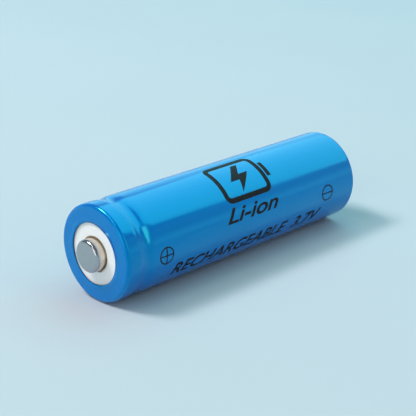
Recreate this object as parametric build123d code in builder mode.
from build123d import *
import os
from math import floor, hypot, sqrt

# Cylindrical lithium-ion cell with a button top, lying on its side. Millimetres.
# The cell's axis runs along X at the height of its radius; the button faces -X.
# "depth" is measured from the sleeve's positive end face into the cell, along +X.

# ---------------------------------------------------------------- driving sizes
cell_diameter = 18.5           # over the shrink sleeve
cell_length = 65.0             # button face to negative end
button_height = 1.95           # button face above the sleeve's end face
button_diameter = 6.18

# shrink sleeve, a heat-shrunk plastic tube turned in over both ends
sleeve_wall = 0.12
sleeve_shoulder = 0.85         # rounding at the positive end
sleeve_base_rounding = 0.60    # rounding at the negative end
sleeve_opening = 11.70         # hole left at the positive end
sleeve_base_opening = 13.50    # hole left at the negative end
sleeve_sag = 0.50              # how far the film sags into the can's bead
sleeve_fit = 0.03              # between film and steel

# fibre washer under the sleeve's positive lip
washer_thickness = 0.33
washer_diameter = 16.60
washer_hole = 6.82

# steel can: drawn cup, beaded below the cap stack and crimped over it
can_wall = 0.25
can_shoulder = 0.80            # outer bend where the wall turns over the gasket
can_base_bend = 0.50
can_mouth = 13.20              # hole inside the crimped lip
bead_depth = 1.30
bead_bend = 0.45               # both bends of the steep flank that carries the gasket
bead_floor = 0.40              # flat bottom of the bead
bead_slope = 2.70              # length of the soft flank towards the wound roll

# button: drawn hat, spot-welded by its flange to the terminal cap
button_wall = 0.30
button_edge = 0.66             # rounding of the contact face's edge
button_flange = 8.40
button_foot_bend = 0.20

# cap stack, clamped at its rim by the gasket
gasket_wall = 0.35
gasket_fold = 0.28             # thickness of the fold under the can's lip
gasket_mouth = 12.40           # hole inside the fold
gasket_flange_bore = 14.40     # hole inside the lower flange
gasket_corner = 0.25
gasket_fit = 0.03
cap_thickness = 0.40
cap_centre = 9.20              # raised middle that carries the button
cap_ramp = 0.40                # radial run from the raised middle to the rim
cap_vent_hole = 1.20
cap_vent_circle = 11.20
cap_vent_count = 4
ptc_thickness = 0.30
ptc_bore = 12.60
vent_thickness = 0.25
vent_rim_bore = 12.40          # inner edge of the clamped rim
vent_step = 0.10
vent_step_run = 0.40
vent_dimple = 3.00             # mouth of the dimple welded to the weld plate
vent_dimple_floor = 1.60
vent_score_circle = 9.20
vent_score_width = 0.30
vent_score_depth = 0.12
spacer_thickness = 0.32
spacer_bore = 13.00
cid_thickness = 0.60
cid_bore = 4.00                # the vent's dimple passes through it
cid_gas_hole = 1.30
cid_gas_circle = 9.40
cid_gas_count = 6
weld_plate_diameter = 6.60
weld_plate_thickness = 0.15

# insulating discs at both ends of the wound roll
insulator_thickness = 0.25
insulator_fit = 0.05
insulator_gas_hole = 2.00
insulator_gas_circle = 10.00
insulator_gas_count = 5
base_insulator_thickness = 0.20
base_insulator_weld_hole = 2.00
bead_to_insulator = 0.05

# wound roll: two electrodes and two separators
cathode_thickness = 0.160
anode_thickness = 0.140
separator_thickness = 0.025
winding_gap = 0.020            # keeps neighbouring turns from touching
anode_inset = 0.60             # electrodes are narrower than the separators
cathode_inset = 1.10
roll_tape_wall = 0.06
roll_tape_inset = 2.00
roll_to_can = 0.04

# centre pin: slit steel tube in the roll's bore
pin_diameter = 3.00
pin_wall = 0.25
pin_slit = 0.60
pin_end_gap = 0.30

# tabs: thin metal strips from the electrodes to the terminals
tab_thickness = 0.10
tab_bend = 0.30
tab_gap = 0.02
cathode_tab_width = 3.00
cathode_tab_length = 42.0      # along the roll
cathode_tab_reach = 5.00       # how far the folded tab reaches out from the axis
cathode_tab_rise = 1.00        # fold's height over the top insulator
cathode_tab_weld = 2.60        # length lying on the weld plate
slot_clearance = 0.20
tab_tape_wall = 0.05
tab_tape_length = 9.00
anode_tab_width = 3.00
anode_tab_length = 40.0
anode_tab_bend = 0.20

# ---------------------------------------------------------------- worked-out sizes
cell_radius = cell_diameter / 2
body_length = cell_length - button_height
end_face = button_height - cell_length / 2     # X of the sleeve's positive end face

can_radius = cell_radius - sleeve_wall - sleeve_fit
can_bore_radius = can_radius - can_wall
can_base = body_length - sleeve_wall           # outer face of the can's bottom
can_floor = can_base - can_wall

washer_top = sleeve_wall
can_lip = washer_top + washer_thickness        # outer face of the crimped lip
gasket_top = can_lip + can_wall
cap_rim = gasket_top + gasket_fold
ptc_top = cap_rim + cap_thickness
vent_top = ptc_top + ptc_thickness
spacer_top = vent_top + vent_thickness
cid_top = spacer_top + spacer_thickness
stack_end = cid_top + cid_thickness
gasket_end = stack_end + gasket_wall
bead_start = gasket_end - (bead_bend - can_wall)
bead_low = bead_start + 2 * bead_bend + bead_floor
bead_end = bead_low + bead_slope

gasket_radius = can_bore_radius - gasket_fit
stack_radius = gasket_radius - gasket_wall - gasket_fit
cap_middle = can_lip + button_wall             # top of the cap's raised middle

roll_top = bead_end + bead_to_insulator + insulator_thickness
anode_tab_face = can_floor - tab_thickness
base_insulator_top = anode_tab_face - base_insulator_thickness
roll_length = base_insulator_top - roll_top

roll_tape_radius = can_bore_radius - roll_to_can
roll_tape_bore = roll_tape_radius - roll_tape_wall
anode_tab_radius = sqrt((roll_tape_bore - tab_gap) ** 2 - (anode_tab_width / 2) ** 2)
roll_radius = anode_tab_radius - tab_thickness - tab_gap

pin_radius = pin_diameter / 2
tab_tape_low = pin_radius + tab_gap
cathode_tab_low = tab_tape_low + tab_tape_wall + tab_gap
cathode_tab_high = cathode_tab_low + tab_thickness
tab_tape_high = cathode_tab_high + tab_gap + tab_tape_wall
tab_tape_side = cathode_tab_width / 2 + tab_gap + tab_tape_wall
least_bore = hypot(tab_tape_high, tab_tape_side) + tab_gap

# Each half turn of the roll is a semicircle, one step wider than the last. Its centre
# moves from one side of the axis to the other, half a step out, so the turns join up.
pitch = cathode_thickness + anode_thickness + 2 * separator_thickness + 4 * winding_gap
step = pitch / 2
half_turns = 2 * floor((roll_radius + winding_gap - least_bore - 1.5 * step) / pitch)
first_radius = roll_radius + winding_gap - (half_turns + 1) * step

# The half-plane above the axis (local x is depth, local y is radius), and the
# cross-section at a depth (local x is +Y, local y is +Z).
cell_axis = Axis((0, 0, cell_radius), (1, 0, 0))
half_section = Plane(origin=(end_face, 0, cell_radius), x_dir=(1, 0, 0), z_dir=(0, -1, 0))


def cross_section(depth):
    return Plane(origin=(end_face + depth, 0, cell_radius), x_dir=(0, 1, 0), z_dir=(1, 0, 0))


def soft_flank(start, end):
    """Two equal arcs between points at different radii, tangent to the axis at both ends."""
    middle = ((start[0] + end[0]) / 2, (start[1] + end[1]) / 2)
    falling = TangentArc(start, middle, tangent=(1, 0))
    TangentArc(middle, end, tangent=falling % 1)


def spiral_strip(inner_radius, thickness, first, last):
    """Outline of one wound strip, from half turn number first up to but not including last."""
    inner = []
    outer = []
    for turn in range(first, last):
        below = turn % 2
        centre = (step / 2 if below else -step / 2, 0)
        radius = inner_radius + turn * step
        inner.append(CenterArc(centre, radius, 180 * below, 180))
        outer.append(CenterArc(centre, radius + thickness, 180 * below, 180))
    Line(inner[0] @ 0, outer[0] @ 0)
    Line(inner[-1] @ 1, outer[-1] @ 1)


os.makedirs("parts", exist_ok=True)


def save(builder, name):
    builder.part.label = name
    export_step(builder.part, f"parts/{name}.step")


# ---------------------------------------------------------------- outside
with BuildPart() as shrink_sleeve:
    with BuildSketch(half_section):
        with BuildLine():
            lip = Line((0, sleeve_opening / 2), (0, cell_radius - sleeve_shoulder))
            shoulder = JernArc(lip @ 1, lip % 1, sleeve_shoulder, -90)
            Line(shoulder @ 1, (bead_start, cell_radius))
            soft_flank((bead_start, cell_radius), (bead_low, cell_radius - sleeve_sag))
            soft_flank((bead_low, cell_radius - sleeve_sag), (bead_end, cell_radius))
            wall = Line((bead_end, cell_radius), (body_length - sleeve_base_rounding, cell_radius))
            rounding = JernArc(wall @ 1, wall % 1, sleeve_base_rounding, -90)
            Line(rounding @ 1, (body_length, sleeve_base_opening / 2))
            offset(amount=sleeve_wall, side=Side.RIGHT)
        make_face()
    revolve(axis=cell_axis)
save(shrink_sleeve, "shrink_sleeve")

with BuildPart() as insulating_washer:
    with BuildSketch(cross_section(washer_top)):
        Circle(washer_diameter / 2)
        Circle(washer_hole / 2, mode=Mode.SUBTRACT)
    extrude(amount=washer_thickness)
save(insulating_washer, "insulating_washer")

with BuildPart() as positive_button:
    with BuildSketch(half_section):
        with BuildLine():
            face = Line((-button_height, 0), (-button_height, button_diameter / 2 - button_edge))
            edge = JernArc(face @ 1, face % 1, button_edge, -90)
            side = Line(edge @ 1, (can_lip - button_foot_bend, button_diameter / 2))
            foot = JernArc(side @ 1, side % 1, button_foot_bend, 90)
            Line(foot @ 1, (can_lip, button_flange / 2))
            offset(amount=button_wall, side=Side.RIGHT)
        make_face()
    revolve(axis=cell_axis)
save(positive_button, "positive_button")

with BuildPart() as steel_can:
    with BuildSketch(half_section):
        with BuildLine():
            lip = Line((can_lip, can_mouth / 2), (can_lip, can_radius - can_shoulder))
            crimp = JernArc(lip @ 1, lip % 1, can_shoulder, -90)
            neck = Line(crimp @ 1, (bead_start, can_radius))
            outer_bend = JernArc(neck @ 1, neck % 1, bead_bend, -90)
            ledge = Line(outer_bend @ 1, outer_bend @ 1 - (0, bead_depth - 2 * bead_bend))
            inner_bend = JernArc(ledge @ 1, ledge % 1, bead_bend, 90)
            Line(inner_bend @ 1, (bead_low, can_radius - bead_depth))
            soft_flank((bead_low, can_radius - bead_depth), (bead_end, can_radius))
            wall = Line((bead_end, can_radius), (can_base - can_base_bend, can_radius))
            base_bend = JernArc(wall @ 1, wall % 1, can_base_bend, -90)
            Line(base_bend @ 1, (can_base, 0))
            offset(amount=can_wall, side=Side.RIGHT)
        make_face()
    revolve(axis=cell_axis)
save(steel_can, "steel_can")

# ---------------------------------------------------------------- cap stack
with BuildPart() as sealing_gasket:
    with BuildSketch(half_section):
        with BuildLine():
            FilletPolyline(
                (gasket_top, gasket_mouth / 2),
                (gasket_top, gasket_radius),
                (gasket_end, gasket_radius),
                (gasket_end, gasket_flange_bore / 2),
                (stack_end, gasket_flange_bore / 2),
                (stack_end, gasket_radius - gasket_wall),
                (cap_rim, gasket_radius - gasket_wall),
                (cap_rim, gasket_mouth / 2),
                radius=[0, can_shoulder - can_wall, gasket_corner, 0, 0, 0, 0, 0],
                close=True,
            )
        make_face()
    revolve(axis=cell_axis)
save(sealing_gasket, "sealing_gasket")

with BuildPart() as terminal_cap:
    with BuildSketch(half_section):
        with BuildLine():
            Polyline(
                (cap_middle, 0),
                (cap_middle, cap_centre / 2),
                (cap_rim, cap_centre / 2 + cap_ramp),
                (cap_rim, stack_radius),
                (ptc_top, stack_radius),
                (ptc_top, cap_centre / 2 + cap_ramp),
                (cap_middle + cap_thickness, cap_centre / 2),
                (cap_middle + cap_thickness, 0),
                close=True,
            )
        make_face()
    revolve(axis=cell_axis)
    with BuildSketch(cross_section(0)):
        with PolarLocations(cap_vent_circle / 2, cap_vent_count):
            Circle(cap_vent_hole / 2)
    extrude(amount=stack_end, mode=Mode.SUBTRACT)
save(terminal_cap, "terminal_cap")

with BuildPart() as ptc_ring:
    with BuildSketch(cross_section(ptc_top)):
        Circle(stack_radius)
        Circle(ptc_bore / 2, mode=Mode.SUBTRACT)
    extrude(amount=ptc_thickness)
save(ptc_ring, "ptc_ring")

with BuildPart() as vent_disc:
    with BuildSketch(half_section):
        with BuildLine():
            Polyline(
                (stack_end - vent_thickness, 0),
                (stack_end - vent_thickness, vent_dimple_floor / 2),
                (vent_top + vent_step, vent_dimple / 2),
                (vent_top + vent_step, vent_rim_bore / 2 - vent_step_run),
                (vent_top, vent_rim_bore / 2),
                (vent_top, stack_radius),
            )
            offset(amount=vent_thickness, side=Side.RIGHT)
        make_face()
    revolve(axis=cell_axis)
    with BuildSketch(cross_section(vent_top + vent_step)):
        Circle(vent_score_circle / 2 + vent_score_width / 2)
        Circle(vent_score_circle / 2 - vent_score_width / 2, mode=Mode.SUBTRACT)
    extrude(amount=vent_score_depth, mode=Mode.SUBTRACT)
save(vent_disc, "vent_disc")

with BuildPart() as cid_spacer:
    with BuildSketch(cross_section(spacer_top)):
        Circle(stack_radius)
        Circle(spacer_bore / 2, mode=Mode.SUBTRACT)
    extrude(amount=spacer_thickness)
save(cid_spacer, "cid_spacer")

with BuildPart() as cid_plate:
    with BuildSketch(cross_section(cid_top)):
        Circle(stack_radius)
        Circle(cid_bore / 2, mode=Mode.SUBTRACT)
        with PolarLocations(cid_gas_circle / 2, cid_gas_count):
            Circle(cid_gas_hole / 2, mode=Mode.SUBTRACT)
    extrude(amount=cid_thickness)
save(cid_plate, "cid_plate")

with BuildPart() as weld_plate:
    with BuildSketch(cross_section(stack_end)):
        Circle(weld_plate_diameter / 2)
    extrude(amount=weld_plate_thickness)
save(weld_plate, "weld_plate")

# ---------------------------------------------------------------- wound roll
layer_start = first_radius
layers = {}
for name, thickness, inset, first, last in (
    ("inner_separator", separator_thickness, 0, 0, half_turns),
    ("cathode_sheet", cathode_thickness, cathode_inset, 2, half_turns - 2),
    ("outer_separator", separator_thickness, 0, 0, half_turns),
    ("anode_sheet", anode_thickness, anode_inset, 2, half_turns),
):
    with BuildPart() as layer:
        with BuildSketch(cross_section(roll_top + inset)):
            with BuildLine():
                spiral_strip(layer_start, thickness, first, last)
            make_face()
        extrude(amount=roll_length - 2 * inset)
    save(layer, name)
    layer_start += thickness + winding_gap

with BuildPart() as roll_tape:
    with BuildSketch(cross_section(roll_top + roll_tape_inset)):
        Circle(roll_tape_radius)
        Circle(roll_tape_bore, mode=Mode.SUBTRACT)
    extrude(amount=roll_length - 2 * roll_tape_inset)
save(roll_tape, "roll_tape")

with BuildPart() as centre_pin:
    with BuildSketch(cross_section(roll_top + pin_end_gap)):
        Circle(pin_radius)
        Circle(pin_radius - pin_wall, mode=Mode.SUBTRACT)
        with Locations((0, -pin_radius)):
            Rectangle(pin_slit, pin_diameter, mode=Mode.SUBTRACT)
    extrude(amount=roll_length - pin_end_gap)
save(centre_pin, "centre_pin")

# ---------------------------------------------------------------- tabs and insulators
fold_top = roll_top - insulator_thickness - cathode_tab_rise
weld_face = stack_end + weld_plate_thickness + tab_thickness   # tab's free side on the weld plate

with BuildPart() as cathode_tab:
    with BuildSketch(half_section):
        with BuildLine():
            FilletPolyline(
                (roll_top + cathode_tab_length, cathode_tab_low),
                (fold_top, cathode_tab_low),
                (fold_top, cathode_tab_reach),
                ((fold_top + weld_face) / 2, cathode_tab_reach),
                (weld_face, cathode_tab_weld),
                (weld_face, -cathode_tab_width / 2),
                radius=tab_bend,
            )
            offset(amount=tab_thickness, side=Side.RIGHT)
        make_face()
    extrude(amount=cathode_tab_width / 2, both=True)
save(cathode_tab, "cathode_tab")

with BuildPart() as cathode_tab_tape:
    with BuildSketch(cross_section(roll_top + pin_end_gap)):
        with Locations((0, (tab_tape_low + tab_tape_high) / 2)):
            Rectangle(2 * tab_tape_side, tab_tape_high - tab_tape_low)
            Rectangle(
                2 * (tab_tape_side - tab_tape_wall),
                tab_tape_high - tab_tape_low - 2 * tab_tape_wall,
                mode=Mode.SUBTRACT,
            )
    extrude(amount=tab_tape_length)
save(cathode_tab_tape, "cathode_tab_tape")

with BuildPart() as top_insulator:
    with BuildSketch(cross_section(roll_top - insulator_thickness)):
        Circle(can_bore_radius - insulator_fit)
        Circle(pin_radius - pin_wall, mode=Mode.SUBTRACT)
        with PolarLocations(insulator_gas_circle / 2, insulator_gas_count):
            Circle(insulator_gas_hole / 2, mode=Mode.SUBTRACT)
        with Locations((0, (cathode_tab_low + cathode_tab_high) / 2)):
            Rectangle(
                cathode_tab_width + 2 * slot_clearance,
                tab_thickness + 2 * slot_clearance,
                mode=Mode.SUBTRACT,
            )
    extrude(amount=insulator_thickness)
save(top_insulator, "top_insulator")

with BuildPart() as bottom_insulator:
    with BuildSketch(cross_section(base_insulator_top)):
        Circle(anode_tab_radius - anode_tab_bend)
        Circle(base_insulator_weld_hole / 2, mode=Mode.SUBTRACT)
    extrude(amount=base_insulator_thickness)
save(bottom_insulator, "bottom_insulator")

with BuildPart() as anode_tab:
    with BuildSketch(half_section):
        with BuildLine():
            FilletPolyline(
                (can_floor, anode_tab_width / 2),
                (can_floor, -anode_tab_radius),
                (can_floor - anode_tab_length, -anode_tab_radius),
                radius=anode_tab_bend,
            )
            offset(amount=tab_thickness, side=Side.RIGHT)
        make_face()
    extrude(amount=anode_tab_width / 2, both=True)
save(anode_tab, "anode_tab")
